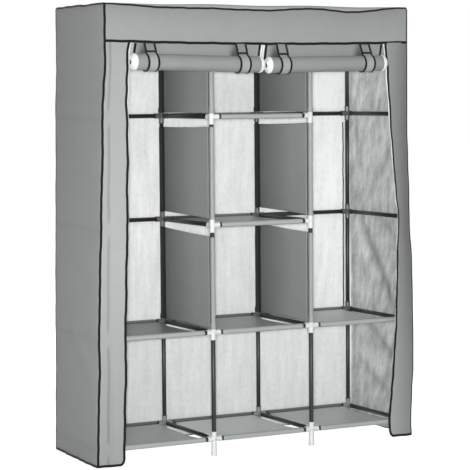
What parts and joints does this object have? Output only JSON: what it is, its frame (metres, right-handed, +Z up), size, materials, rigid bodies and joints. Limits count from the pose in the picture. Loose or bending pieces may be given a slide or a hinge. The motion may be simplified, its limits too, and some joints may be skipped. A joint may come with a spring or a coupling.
{
  "type": "portable fabric wardrobe",
  "caption": "Free-standing fabric wardrobe: a tube frame with sleeved cloth shelves and dividers, hanging bays at the sides, and a piped cloth cover with roll-up doors.",
  "frame": {"origin": "on the floor under the middle of the overall box", "axes": "+X to the right as seen from the front, +Y to the back, +Z up"},
  "size_m": [1.3232, 0.4978, 1.6252],
  "materials": {
    "frame_steel": "black enamel, satin",
    "shelf_cloth": "non-woven",
    "divider_cloth": "non-woven",
    "cover_cloth": "non-woven",
    "strap_cloth": "non-woven, black edges"
  },
  "bodies": {
    "root": {"ladder_left_outer": "frame_steel", "ladder_left_inner": "frame_steel", "ladder_right_inner": "frame_steel", "ladder_right_outer": "frame_steel", "rail_low_left_front": "frame_steel", "rail_low_left_back": "frame_steel", "rail_low_middle_front": "frame_steel", "rail_low_middle_back": "frame_steel", "rail_low_right_front": "frame_steel", "rail_low_right_back": "frame_steel", "rail_second_left_front": "frame_steel", "rail_second_left_back": "frame_steel", "rail_second_middle_front": "frame_steel", "rail_second_middle_back": "frame_steel", "rail_second_right_front": "frame_steel", "rail_second_right_back": "frame_steel", "rail_third_left_back": "frame_steel", "rail_third_middle_front": "frame_steel", "rail_third_middle_back": "frame_steel", "rail_third_right_back": "frame_steel", "rail_fourth_left_back": "frame_steel", "rail_fourth_middle_front": "frame_steel", "rail_fourth_middle_back": "frame_steel", "rail_fourth_right_back": "frame_steel", "rail_top_left_front": "frame_steel", "rail_top_left_back": "frame_steel", "rail_top_middle_front": "frame_steel", "rail_top_middle_back": "frame_steel", "rail_top_right_front": "frame_steel", "rail_top_right_back": "frame_steel", "hanging_rail_left": "frame_steel", "hanging_rail_right": "frame_steel", "shelf_low_left": "shelf_cloth", "shelf_low_middle": "shelf_cloth", "shelf_low_right": "shelf_cloth", "shelf_second_left": "shelf_cloth", "shelf_second_middle": "shelf_cloth", "shelf_second_right": "shelf_cloth", "shelf_third_middle": "shelf_cloth", "shelf_fourth_middle": "shelf_cloth", "divider_left_inner_above_second": "divider_cloth", "divider_left_inner_above_third": "divider_cloth", "divider_left_inner_above_fourth": "divider_cloth", "divider_right_inner_above_second": "divider_cloth", "divider_right_inner_above_third": "divider_cloth", "divider_right_inner_above_fourth": "divider_cloth", "cover_left_side": "cover_cloth", "cover_right_side": "cover_cloth", "cover_back": "cover_cloth", "cover_top": "cover_cloth", "cover_header": "cover_cloth", "cover_strip_left": "cover_cloth", "cover_strip_right": "cover_cloth", "door_left_curtain": "cover_cloth", "door_left_straps": "strap_cloth", "door_right_curtain": "cover_cloth", "door_right_straps": "strap_cloth"},
    "door_left": {"door_left_roll": "cover_cloth"},
    "door_right": {"door_right_roll": "cover_cloth"}
  },
  "joints": [
    {"name": "door_left_drop", "type": "slide", "parent": "root", "child": "door_left", "axis": [0, 0, -1], "range_m": [0, 1.378], "deforming": ["door_left_curtain", "door_left_straps"]},
    {"name": "door_right_drop", "type": "slide", "parent": "root", "child": "door_right", "axis": [0, 0, -1], "range_m": [0, 1.378], "deforming": ["door_right_curtain", "door_right_straps"]}
  ]
}
